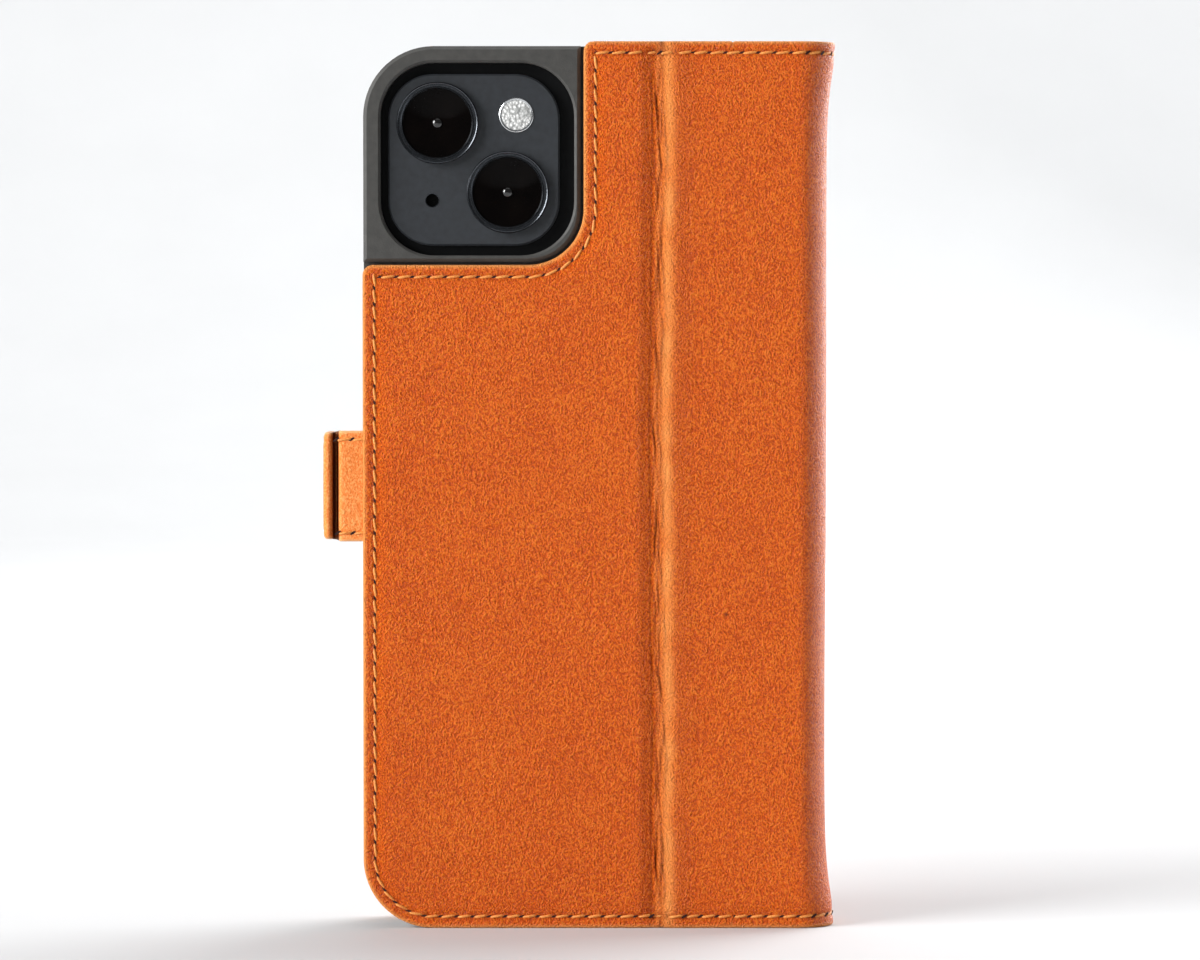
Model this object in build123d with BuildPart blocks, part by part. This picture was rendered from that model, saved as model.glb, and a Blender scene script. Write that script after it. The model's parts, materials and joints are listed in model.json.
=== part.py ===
"""Phone wallet case: a leather folio with a moulded tray, a folding stand, a strap and a fitted phone.

Row frame in millimetres: +X towards the spine seen from the back, +Y from the back panel towards
the front cover, +Z up. The case stands closed on its bottom edge. Depths are measured from the
back panel's outer face and grow towards the front cover.
"""
from build123d import *
import os

os.makedirs("parts", exist_ok=True)

# ---- Driving dimensions -------------------------------------------------------------------
# Phone that the tray is moulded for
PHONE_WIDTH = 71.5
PHONE_HEIGHT = 146.7
PHONE_CORNER = 10.4
PHONE_CENTRE_X = 0.85
PHONE_CENTRE_Z = 76.1
GLASS = 0.6

# Leather panels
CASE_HEIGHT = 152.0
LEATHER_LEFT = -36.7
LEATHER_CORNER = 12.0
LEATHER = 1.0
BOARD = 0.6
LINING = 0.6
BOARD_INSET = 3.4
EDGE_ROUND = 0.35

# Stack of depths, from the back panel's outer face to the cover's outer face
TRAY_BACK = 2.4
TRAY_FLOOR_TOP = 3.6
PHONE_BACK = 3.7
PHONE_FRONT = 11.6
TRAY_FRONT = 12.2
COVER_FRONT = 17.9

# Tray
TRAY_WALL = 1.55
TRAY_CLEARANCE = 0.1
TRAY_LIP = 1.0
BOSS_BACK = 0.6
BOSS_RIGHT = 0.6
BOSS_BOTTOM = 114.3
BOSS_INNER_CORNER = 9.0
BOSS_CHAMFER = 0.6
OPENING_CHAMFER = 0.4

# Camera opening in the tray, and the phone's raised camera plate
OPENING_LEFT, OPENING_RIGHT = -33.6, -0.5
OPENING_BOTTOM, OPENING_TOP = 115.4, 148.3
OPENING_CORNER = 9.2
PLATE_LEFT, PLATE_RIGHT = -32.35, -3.0
PLATE_BOTTOM, PLATE_TOP = 117.1, 146.4
PLATE_CORNER = 7.7
PLATE_BACK = 2.2
LENS_CENTRES = [(-23.9, 138.0), (-11.9, 126.2)]
LENS_RING_R = 7.0
LENS_GLASS_R = 5.9
LENS_BACK = 0.95
FLASH_CENTRE, FLASH_R = (-10.4, 139.4), 2.95
MIC_CENTRE, MIC_R = (-24.8, 124.85), 1.1

# Camera cut-out in the back leather
CUTOUT_RIGHT = 1.1
CUTOUT_BOTTOM = 113.8
CUTOUT_CORNER = 9.5
SMALL_CORNER = 1.8

# Folds, as (x, depth) of each vertical axis, and the gaps that the leather bends across
CREASE = (12.5, 1.1)
CREASE_GAP = 0.9
SPINE_FOLD = (40.6, 2.3)
FLAP_END = 39.2
SPINE_START, SPINE_END = 3.3, 15.3
SPINE_INNER = 40.7
SPINE_BOARD = 41.3
SPINE_LEATHER = 42.0
SPINE_EDGE, SPINE_BULGE = 42.9, 43.9
COVER_START = 40.3

# Inside of the cover
POCKET_SHEET = 0.65
POCKET_INSET = 1.2
POCKET_LEFT, POCKET_RIGHT = LEATHER_LEFT + POCKET_INSET, 36.8
CASH_POCKET_TOP = 132.0
POCKET_TOPS = {"card_pocket_upper": 112.0, "card_pocket_middle": 96.0, "card_pocket_lower": 80.0}

# Clasp strap
STRAP_Z = 75.95
STRAP_WIDTH = 19.0
STRAP_SIDE_WIDTH = 18.3
STRAP_LEATHER = 0.85
STRAP_ROOT_LEFT, STRAP_ROOT_RIGHT = -40.9, -33.0
STRAP_OUTER = -43.6
STRAP_SIDE_START, STRAP_SIDE_END = 2.7, 17.95
STRAP_TIP_START, STRAP_TIP_END = 20.35, 43.0
STRAP_TIP_CORNER = 6.0
MAGNET_R, MAGNET_DEPTH = 5.5, 34.7
CLASP_PLATE_X, CLASP_PLATE_R = -27.2, 6.5

# Key pads: middle height, length along Z
KEY_DEPTH, KEY_WIDTH = 7.7, 3.2
KEY_GAP = 0.3
KEY_PROUD = 0.4
SIDE_KEY = (98.5, 12.5)
VOLUME_KEYS = {"volume_up_pad": (109.5, 9.0), "volume_down_pad": (97.5, 9.0)}
SWITCH_SLOT = (121.5, 7.5)
PORT_LENGTH, PORT_CENTRE_DEPTH, PORT_WIDTH = 44.0, 7.7, 5.6

# ---- Derived dimensions -------------------------------------------------------------------
DEPTH_MID = STRAP_TIP_END / 2
INNER_WIDTH = PHONE_WIDTH + 2 * TRAY_CLEARANCE
INNER_HEIGHT = PHONE_HEIGHT + 2 * TRAY_CLEARANCE
TRAY_WIDTH = INNER_WIDTH + 2 * TRAY_WALL
TRAY_HEIGHT = INNER_HEIGHT + 2 * TRAY_WALL
TRAY_LEFT = PHONE_CENTRE_X - TRAY_WIDTH / 2
TRAY_RIGHT = PHONE_CENTRE_X + TRAY_WIDTH / 2
TRAY_TOP = PHONE_CENTRE_Z + TRAY_HEIGHT / 2
TRAY_CORNER = PHONE_CORNER + TRAY_CLEARANCE + TRAY_WALL
BACK_RIGHT = CREASE[0] - CREASE_GAP
FLAP_LEFT = CREASE[0] + CREASE_GAP
BOARD_DEPTH = LEATHER
LINING_DEPTH = LEATHER + BOARD
COVER_LEATHER = COVER_FRONT - LEATHER
COVER_BOARD = COVER_LEATHER - BOARD
COVER_LINING = COVER_BOARD - LINING
CASH_SHEET = COVER_LINING - LINING


def depth_plane(depth):
    """Upright plane at a depth; its normal faces the back, so a negative extrusion goes deeper."""
    return Plane.XZ.offset(DEPTH_MID - depth)


def box_sketch(left, right, bottom, top):
    """Rectangle between four edges, in the sketch that is open."""
    with Locations(((left + right) / 2, (bottom + top) / 2)):
        Rectangle(right - left, top - bottom)


def leftmost(sketch):
    """The two corners on a sketch's left edge."""
    return sketch.vertices().group_by(Axis.X)[0]


def phone_rectangle(width, height, corner):
    """Rounded rectangle round the phone's middle, in the sketch that is open."""
    with Locations((PHONE_CENTRE_X, PHONE_CENTRE_Z)):
        RectangleRounded(width, height, corner)


def finish(piece, name):
    """Label a finished piece and write its file."""
    piece.part.label = name
    export_step(piece.part, f"parts/{name}.step")


# ---- Back panel: leather, board, lining, and the film of glue that holds the tray -----------
with BuildPart() as back_leather:
    with BuildSketch(depth_plane(0)) as outline:
        box_sketch(LEATHER_LEFT, BACK_RIGHT, 0, CASE_HEIGHT)
        fillet(leftmost(outline).sort_by(Axis.Y)[0], LEATHER_CORNER)
        with BuildSketch(mode=Mode.SUBTRACT) as cutout:
            box_sketch(LEATHER_LEFT - 1, CUTOUT_RIGHT, CUTOUT_BOTTOM, CASE_HEIGHT + 1)
            fillet(cutout.vertices().sort_by(Axis.X)[-2:].sort_by(Axis.Y)[0], CUTOUT_CORNER)
        edge_corners = outline.vertices().filter_by(
            lambda v: abs(v.X - LEATHER_LEFT) < 0.01 and v.Y > CUTOUT_BOTTOM - 1
            or abs(v.X - CUTOUT_RIGHT) < 0.01 and v.Y > CASE_HEIGHT - 1
        )
        fillet(edge_corners, SMALL_CORNER)
    extrude(amount=-LEATHER)
    outer_edges = back_leather.faces().sort_by(Axis.Y)[0].edges()
    fillet(outer_edges.filter_by(lambda e: e.center().X < BACK_RIGHT - 0.1), EDGE_ROUND)
finish(back_leather, "back_leather")


def back_inner_sheet(inset, right, depth, thickness):
    """A sheet that follows the back leather's outline at an inset, with its camera corner cut away."""
    with BuildPart() as inner_sheet:
        with BuildSketch(depth_plane(depth)) as outline:
            box_sketch(LEATHER_LEFT + inset, right, inset, CASE_HEIGHT - inset)
            fillet(leftmost(outline).sort_by(Axis.Y)[0], LEATHER_CORNER - inset)
            with BuildSketch(mode=Mode.SUBTRACT) as cutout:
                box_sketch(LEATHER_LEFT - 1, CUTOUT_RIGHT + inset, CUTOUT_BOTTOM - inset, CASE_HEIGHT + 1)
                inner_corner = cutout.vertices().sort_by(Axis.X)[-2:].sort_by(Axis.Y)[0]
                fillet(inner_corner, CUTOUT_CORNER + inset)
        extrude(amount=-thickness)
        # Notch for the end of the strap, which is glued between the leather and the tray
        with BuildSketch(depth_plane(depth)):
            with Locations((STRAP_ROOT_LEFT, STRAP_Z)):
                Rectangle(2 * (STRAP_ROOT_RIGHT - STRAP_ROOT_LEFT) + 1, STRAP_WIDTH + 1)
        extrude(amount=-thickness, mode=Mode.SUBTRACT)
    return inner_sheet


back_board = back_inner_sheet(BOARD_INSET, BACK_RIGHT - 1.0, BOARD_DEPTH, BOARD)
finish(back_board, "back_board")

back_lining = back_inner_sheet(0.4, BACK_RIGHT, LINING_DEPTH, LINING)
finish(back_lining, "back_lining")

with BuildPart() as tray_adhesive:
    with BuildSketch(depth_plane(LINING_DEPTH + LINING)):
        box_sketch(STRAP_ROOT_RIGHT + 1.0, BACK_RIGHT - 2.0, 5.0, CUTOUT_BOTTOM - 4.0)
    extrude(amount=-(TRAY_BACK - LINING_DEPTH - LINING))
finish(tray_adhesive, "tray_adhesive")

# ---- Moulded tray -----------------------------------------------------------------------------
with BuildPart() as phone_tray:
    with BuildSketch(depth_plane(TRAY_BACK)):
        phone_rectangle(TRAY_WIDTH, TRAY_HEIGHT, TRAY_CORNER)
    extrude(amount=-(TRAY_FRONT - TRAY_BACK))
    fillet(phone_tray.faces().sort_by(Axis.Y)[-1].edges(), 1.5)
    # The corner round the camera stands proud of the tray's floor, level with the leather
    with BuildSketch(depth_plane(BOSS_BACK)) as boss:
        phone_rectangle(TRAY_WIDTH, TRAY_HEIGHT, TRAY_CORNER)
        with BuildSketch(mode=Mode.INTERSECT) as boss_limit:
            box_sketch(TRAY_LEFT - 1, BOSS_RIGHT, BOSS_BOTTOM, TRAY_TOP + 1)
            fillet(boss_limit.vertices().sort_by(Axis.X)[-2:].sort_by(Axis.Y)[0], BOSS_INNER_CORNER)
    extrude(amount=-(TRAY_BACK - BOSS_BACK))
    boss_face = phone_tray.faces().sort_by(Axis.Y)[0]
    chamfer(boss_face.edges(), BOSS_CHAMFER)
    # Cavity for the phone, then the narrower mouth inside the front lip
    with BuildSketch(depth_plane(TRAY_FLOOR_TOP)):
        phone_rectangle(INNER_WIDTH, INNER_HEIGHT, PHONE_CORNER + TRAY_CLEARANCE)
    extrude(amount=-(PHONE_FRONT + TRAY_CLEARANCE - TRAY_FLOOR_TOP), mode=Mode.SUBTRACT)
    with BuildSketch(depth_plane(PHONE_FRONT)):
        phone_rectangle(INNER_WIDTH - 2 * TRAY_LIP, INNER_HEIGHT - 2 * TRAY_LIP, PHONE_CORNER - TRAY_LIP)
    extrude(amount=-(TRAY_FRONT - PHONE_FRONT + 1), mode=Mode.SUBTRACT)
    # Opening for the camera
    with BuildSketch(depth_plane(BOSS_BACK)) as opening:
        box_sketch(OPENING_LEFT, OPENING_RIGHT, OPENING_BOTTOM, OPENING_TOP)
        fillet(opening.vertices(), OPENING_CORNER)
    extrude(amount=-(TRAY_FLOOR_TOP - BOSS_BACK + 0.1), mode=Mode.SUBTRACT)
    mouth = phone_tray.faces().sort_by(Axis.Y)[0].inner_wires()[0].edges()
    chamfer(mouth, OPENING_CHAMFER)
    # Openings in the side walls for the key pads and the ring switch
    side_windows = [(TRAY_LEFT, SIDE_KEY)]
    side_windows += [(TRAY_RIGHT, key) for key in VOLUME_KEYS.values()]
    for wall_x, (middle, length) in side_windows:
        with Locations((wall_x, KEY_DEPTH - DEPTH_MID, middle)):
            Box(5 * TRAY_WALL, KEY_WIDTH + 2 * KEY_GAP, length + 2 * KEY_GAP, mode=Mode.SUBTRACT)
    with Locations((TRAY_RIGHT, KEY_DEPTH - DEPTH_MID, SWITCH_SLOT[0])):
        Box(5 * TRAY_WALL, KEY_WIDTH, SWITCH_SLOT[1], mode=Mode.SUBTRACT)
    # Slot under the phone's charging port and speakers
    with Locations((PHONE_CENTRE_X, PORT_CENTRE_DEPTH - DEPTH_MID, PHONE_CENTRE_Z - TRAY_HEIGHT / 2)):
        Box(PORT_LENGTH, PORT_WIDTH, 3 * TRAY_WALL, mode=Mode.SUBTRACT)
finish(phone_tray, "phone_tray")


def key_pad(wall_x, outward, middle, length):
    """Oblong pad in a window of a side wall; outward is -1 on the left wall and +1 on the right."""
    outer_x = wall_x + outward * KEY_PROUD
    inner_x = wall_x - outward * (TRAY_WALL - 0.4)
    with BuildPart() as pad:
        with BuildSketch(Plane.YZ.offset(min(outer_x, inner_x))):
            with Locations((KEY_DEPTH - DEPTH_MID, middle)):
                RectangleRounded(KEY_WIDTH, length, KEY_WIDTH / 2 - 0.1)
        extrude(amount=abs(outer_x - inner_x))
        outer_face = pad.faces().sort_by(Axis.X)[0 if outward < 0 else -1]
        fillet(outer_face.edges(), 0.3)
    return pad


side_key_pad = key_pad(TRAY_LEFT, -1, *SIDE_KEY)
finish(side_key_pad, "side_key_pad")

for pad_name, (pad_middle, pad_length) in VOLUME_KEYS.items():
    volume_pad = key_pad(TRAY_RIGHT, 1, pad_middle, pad_length)
    finish(volume_pad, pad_name)


# ---- Fitted phone -----------------------------------------------------------------------------
def phone_slab(depth, thickness, inset):
    """One layer of the phone, at an inset from its outline."""
    with BuildPart() as slab:
        with BuildSketch(depth_plane(depth)):
            phone_rectangle(PHONE_WIDTH - 2 * inset, PHONE_HEIGHT - 2 * inset, PHONE_CORNER - inset)
        extrude(amount=-thickness)
    return slab


phone_back_glass = phone_slab(PHONE_BACK, GLASS, 0.3)
finish(phone_back_glass, "phone_back_glass")

phone_frame = phone_slab(PHONE_BACK + GLASS, PHONE_FRONT - PHONE_BACK - 2 * GLASS, 0.0)
finish(phone_frame, "phone_frame")

phone_screen = phone_slab(PHONE_FRONT - GLASS, GLASS, 0.3)
finish(phone_screen, "phone_screen")

with BuildPart() as camera_plate:
    with BuildSketch(depth_plane(PLATE_BACK)) as plate_outline:
        box_sketch(PLATE_LEFT, PLATE_RIGHT, PLATE_BOTTOM, PLATE_TOP)
        fillet(plate_outline.vertices(), PLATE_CORNER)
    extrude(amount=-(PHONE_BACK - PLATE_BACK))
    chamfer(camera_plate.faces().sort_by(Axis.Y)[0].edges(), 0.3)
    with BuildSketch(depth_plane(PLATE_BACK)):
        with Locations(FLASH_CENTRE):
            Circle(FLASH_R + 0.05)
        with Locations(MIC_CENTRE):
            Circle(MIC_R)
    extrude(amount=-0.5, mode=Mode.SUBTRACT)
finish(camera_plate, "camera_plate")

with BuildPart() as lens_rings:
    with BuildSketch(depth_plane(LENS_BACK)):
        with Locations(LENS_CENTRES):
            Circle(LENS_RING_R)
            Circle(LENS_GLASS_R, mode=Mode.SUBTRACT)
    extrude(amount=-(PLATE_BACK - LENS_BACK))
    chamfer(lens_rings.faces().group_by(Axis.Y)[0].edges(), 0.25)
finish(lens_rings, "lens_rings")

with BuildPart() as lens_glass:
    with BuildSketch(depth_plane(LENS_BACK + 0.3)):
        with Locations(LENS_CENTRES):
            Circle(LENS_GLASS_R)
    extrude(amount=-(PLATE_BACK - LENS_BACK - 0.3))
finish(lens_glass, "lens_glass")

with BuildPart() as flash_lens:
    with BuildSketch(depth_plane(PLATE_BACK - 0.1)):
        with Locations(FLASH_CENTRE):
            Circle(FLASH_R)
    extrude(amount=-0.6)
finish(flash_lens, "flash_lens")

with BuildPart() as mic_mesh:
    with BuildSketch(depth_plane(PLATE_BACK + 0.35)):
        with Locations(MIC_CENTRE):
            Circle(MIC_R)
    extrude(amount=-0.15)
finish(mic_mesh, "mic_mesh")


# ---- Stand flap between the crease and the spine ------------------------------------------------
def upright_panel(left, right, bottom, top, depth, thickness, bottom_corner=0.0, top_corner=0.0):
    """A flat panel whose two left corners may be rounded."""
    with BuildPart() as panel:
        with BuildSketch(depth_plane(depth)) as outline:
            box_sketch(left, right, bottom, top)
            if bottom_corner > 0:
                fillet(leftmost(outline).sort_by(Axis.Y)[0], bottom_corner)
            if top_corner > 0:
                fillet(leftmost(outline).sort_by(Axis.Y)[-1], top_corner)
        extrude(amount=-thickness)
    return panel


flap_leather = upright_panel(FLAP_LEFT, FLAP_END, 0, CASE_HEIGHT, 0, LEATHER)
finish(flap_leather, "flap_leather")

flap_board = upright_panel(
    FLAP_LEFT + 1.5, FLAP_END - 1.0, BOARD_INSET, CASE_HEIGHT - BOARD_INSET, BOARD_DEPTH, BOARD
)
finish(flap_board, "flap_board")

flap_lining = upright_panel(FLAP_LEFT, FLAP_END, 0.4, CASE_HEIGHT - 0.4, LINING_DEPTH, LINING)
finish(flap_lining, "flap_lining")

# ---- Spine -----------------------------------------------------------------------------------
with BuildPart() as spine_leather:
    with BuildSketch(Plane.XY):
        with BuildLine():
            start, end = SPINE_START - DEPTH_MID, SPINE_END - DEPTH_MID
            bulge = ThreePointArc((SPINE_EDGE, start), (SPINE_BULGE, (start + end) / 2), (SPINE_EDGE, end))
            Line(bulge @ 1, (SPINE_LEATHER, end))
            Line((SPINE_LEATHER, end), (SPINE_LEATHER, start))
            Line((SPINE_LEATHER, start), bulge @ 0)
        make_face()
    extrude(amount=CASE_HEIGHT)
finish(spine_leather, "spine_leather")


def spine_sheet(inner, outer, margin):
    """A flat strip inside the spine, clear of its ends by a margin."""
    with BuildPart() as strip:
        with BuildSketch(Plane.XY.offset(margin)):
            box_sketch(inner, outer, SPINE_START - DEPTH_MID, SPINE_END - DEPTH_MID)
        extrude(amount=CASE_HEIGHT - 2 * margin)
    return strip


spine_board = spine_sheet(SPINE_BOARD, SPINE_LEATHER, BOARD_INSET)
finish(spine_board, "spine_board")

spine_lining = spine_sheet(SPINE_INNER, SPINE_BOARD, 0.4)
finish(spine_lining, "spine_lining")

# ---- Front cover ---------------------------------------------------------------------------------
with BuildPart() as cover_leather:
    with BuildSketch(depth_plane(COVER_LEATHER)) as outline:
        box_sketch(LEATHER_LEFT, COVER_START, 0, CASE_HEIGHT)
        fillet(leftmost(outline), LEATHER_CORNER)
    extrude(amount=-LEATHER)
    outer_edges = cover_leather.faces().sort_by(Axis.Y)[-1].edges()
    fillet(outer_edges.filter_by(lambda e: e.center().X < COVER_START - 0.1), EDGE_ROUND)
finish(cover_leather, "cover_leather")

with BuildPart() as cover_board:
    with BuildSketch(depth_plane(COVER_BOARD)) as outline:
        box_sketch(LEATHER_LEFT + BOARD_INSET, COVER_START - 3.0, BOARD_INSET, CASE_HEIGHT - BOARD_INSET)
        fillet(leftmost(outline), LEATHER_CORNER - BOARD_INSET)
        with Locations((CLASP_PLATE_X, STRAP_Z)):
            Circle(CLASP_PLATE_R + 0.1, mode=Mode.SUBTRACT)
    extrude(amount=-BOARD)
finish(cover_board, "cover_board")

with BuildPart() as clasp_plate:
    with BuildSketch(depth_plane(COVER_BOARD)):
        with Locations((CLASP_PLATE_X, STRAP_Z)):
            Circle(CLASP_PLATE_R)
    extrude(amount=-BOARD)
finish(clasp_plate, "clasp_plate")

lining_corner = LEATHER_CORNER - 0.4
cover_lining = upright_panel(
    LEATHER_LEFT + 0.4, COVER_START, 0.4, CASE_HEIGHT - 0.4, COVER_LINING, LINING, lining_corner, lining_corner
)
finish(cover_lining, "cover_lining")

pocket_corner = LEATHER_CORNER - POCKET_INSET
cash_pocket = upright_panel(
    POCKET_LEFT, POCKET_RIGHT, POCKET_INSET, CASH_POCKET_TOP, CASH_SHEET, LINING, pocket_corner
)
finish(cash_pocket, "cash_pocket")

for tier, (pocket_name, pocket_top) in enumerate(POCKET_TOPS.items()):
    sheet_depth = CASH_SHEET - (tier + 1) * POCKET_SHEET
    pocket = upright_panel(
        POCKET_LEFT, POCKET_RIGHT, POCKET_INSET, pocket_top, sheet_depth, POCKET_SHEET, pocket_corner
    )
    finish(pocket, pocket_name)

# ---- Clasp strap ------------------------------------------------------------------------------------
with BuildPart() as strap_root:
    with BuildSketch(depth_plane(LEATHER)):
        box_sketch(
            STRAP_ROOT_LEFT, STRAP_ROOT_RIGHT, STRAP_Z - STRAP_WIDTH / 2, STRAP_Z + STRAP_WIDTH / 2
        )
    extrude(amount=-(TRAY_BACK - LEATHER - 0.1))
finish(strap_root, "strap_root")


def strap_strip(left, start, end, end_corner):
    """A strip of strap leather that runs from one depth to another, with its far corners rounded."""
    with BuildPart() as strip:
        with BuildSketch(Plane.YZ.offset(left)) as side_outline:
            box_sketch(
                start - DEPTH_MID,
                end - DEPTH_MID,
                STRAP_Z - STRAP_SIDE_WIDTH / 2,
                STRAP_Z + STRAP_SIDE_WIDTH / 2,
            )
            if end_corner > 0:
                fillet(side_outline.vertices().group_by(Axis.X)[-1], end_corner)
        extrude(amount=STRAP_LEATHER)
    return strip


strap_side_outer = strap_strip(STRAP_OUTER, STRAP_SIDE_START, STRAP_SIDE_END, 0.0)
finish(strap_side_outer, "strap_side_outer")

strap_side_inner = strap_strip(STRAP_OUTER + STRAP_LEATHER, STRAP_SIDE_START, STRAP_SIDE_END, 0.0)
finish(strap_side_inner, "strap_side_inner")

# The magnet lies half in each layer of the strap's tip
magnet_place = (STRAP_OUTER + STRAP_LEATHER, MAGNET_DEPTH - DEPTH_MID, STRAP_Z)
with BuildPart() as clasp_magnet:
    with Locations(magnet_place):
        Cylinder(MAGNET_R, 0.8, rotation=(0, 90, 0))
finish(clasp_magnet, "clasp_magnet")

for layer, side_name in enumerate(["outer", "inner"]):
    tip = strap_strip(STRAP_OUTER + layer * STRAP_LEATHER, STRAP_TIP_START, STRAP_TIP_END, STRAP_TIP_CORNER)
    with tip:
        with Locations(magnet_place):
            Cylinder(MAGNET_R, 0.8, rotation=(0, 90, 0), mode=Mode.SUBTRACT)
    finish(tip, f"strap_tip_{side_name}")
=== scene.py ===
"""Looks of the phone wallet case: wrapped leather, saddle stitching, the clasp strap and the camera."""
import json
import math

import bpy
import numpy as np
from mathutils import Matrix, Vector
from mathutils.geometry import delaunay_2d_cdt


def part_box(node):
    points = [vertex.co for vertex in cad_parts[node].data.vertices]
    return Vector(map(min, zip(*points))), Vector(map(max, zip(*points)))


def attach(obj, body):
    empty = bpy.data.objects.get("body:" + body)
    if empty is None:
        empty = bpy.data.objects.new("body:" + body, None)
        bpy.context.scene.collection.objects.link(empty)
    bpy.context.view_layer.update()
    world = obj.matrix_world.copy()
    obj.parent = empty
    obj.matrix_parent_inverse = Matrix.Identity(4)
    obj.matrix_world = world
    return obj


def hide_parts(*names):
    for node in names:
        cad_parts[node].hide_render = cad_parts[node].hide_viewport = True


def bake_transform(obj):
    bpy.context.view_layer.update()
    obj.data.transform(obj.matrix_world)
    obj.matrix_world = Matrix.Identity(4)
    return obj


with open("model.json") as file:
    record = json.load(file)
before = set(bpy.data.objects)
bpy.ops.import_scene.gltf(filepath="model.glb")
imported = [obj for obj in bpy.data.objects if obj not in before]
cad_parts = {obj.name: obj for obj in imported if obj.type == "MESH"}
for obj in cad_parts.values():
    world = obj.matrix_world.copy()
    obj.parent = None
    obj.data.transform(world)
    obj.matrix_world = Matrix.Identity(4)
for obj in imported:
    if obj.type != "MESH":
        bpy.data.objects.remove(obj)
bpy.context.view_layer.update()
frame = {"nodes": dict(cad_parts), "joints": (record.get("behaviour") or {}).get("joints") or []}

MM = 0.001


# ---- Places read from the frame, in millimetres ----
def box_mm(node):
    """Lowest and highest corner of a CAD node, in millimetres."""
    low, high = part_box(node)
    return np.array(low) / MM, np.array(high) / MM


BACK_LOW, BACK_HIGH = box_mm("back_leather")
PLATE_LOW, PLATE_HIGH = box_mm("camera_plate")
LEFT = BACK_LOW[0]
BACK_FACE = BACK_LOW[1]
COVER_FACE = box_mm("cover_leather")[1][1]
SPINE_FACE = box_mm("spine_leather")[1][0]
HEIGHT = BACK_HIGH[2]
LEATHER = BACK_HIGH[1] - BACK_LOW[1]
CREASE_X = (BACK_HIGH[0] + box_mm("flap_leather")[0][0]) / 2

# The camera cut-out's edges stand this far from the camera plate
CUTOUT_RIGHT = PLATE_HIGH[0] + 4.1
CUTOUT_BOTTOM = PLATE_LOW[2] - 3.3

# Corner radii of the leather, then its sewing
PANEL_CORNER = 12.0
CUTOUT_CORNER = 9.5
SMALL_CORNER = 1.8
SPINE_CORNER = 6.0
STITCH_INSET = 2.05
STITCH_PITCH = 2.8

# The face lies this far inside the CAD leather, and the crease's valley this far past its joint
PANEL_DEPTH = 0.1
VALLEY_SHIFT = 0.2


# ---- Node helper and colours ----
def add(tree, kind, links=None, values=None, **settings):
    """Add a node with its settings, its input values and the sockets that feed its inputs."""
    made = tree.nodes.new(kind)
    for name, value in settings.items():
        setattr(made, name, value)
    for name, value in (values or {}).items():
        made.inputs[name].default_value = value
    for name, socket in (links or {}).items():
        tree.links.new(socket, made.inputs[name])
    return made


def srgb(code, alpha=1.0):
    """Linear colour from an sRGB hex value."""
    channels = [int(code[i:i + 2], 16) / 255 for i in (1, 3, 5)]
    linear = [c / 12.92 if c <= 0.04045 else ((c + 0.055) / 1.055) ** 2.4 for c in channels]
    return (*linear, alpha)


def new_material(name):
    """A node material with an empty tree."""
    made = bpy.data.materials.new(name)
    made.use_nodes = True
    made.node_tree.nodes.clear()
    return made, made.node_tree


def surface(made, links, values):
    """Close a material with its shader: patterns come in as links, what is even all over as values."""
    tree = made.node_tree
    shader = add(tree, "ShaderNodeBsdfPrincipled", links, values)
    add(tree, "ShaderNodeOutputMaterial", {"Surface": shader.outputs[0]})
    return made


def ramp(tree, factor, stops):
    """Colour ramp through (position, hex) stops."""
    made = add(tree, "ShaderNodeValToRGB", {"Fac": factor})
    elements = made.color_ramp.elements
    while len(elements) < len(stops):
        elements.new(0.5)
    for element, (position, code) in zip(elements, stops):
        element.position = position
        element.color = srgb(code)
    return made.outputs["Color"]


def noise(tree, place, size_mm, detail=3.0, roughness=0.5):
    """Noise whose blotches are about size_mm across."""
    made = add(
        tree, "ShaderNodeTexNoise", {"Vector": place},
        {"Scale": 1 / (size_mm * MM), "Detail": detail, "Roughness": roughness},
    )
    return made.outputs["Fac"]


def object_place(tree):
    """Object coordinates, which are the row frame's own metres."""
    return add(tree, "ShaderNodeTexCoord").outputs["Object"]


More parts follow.
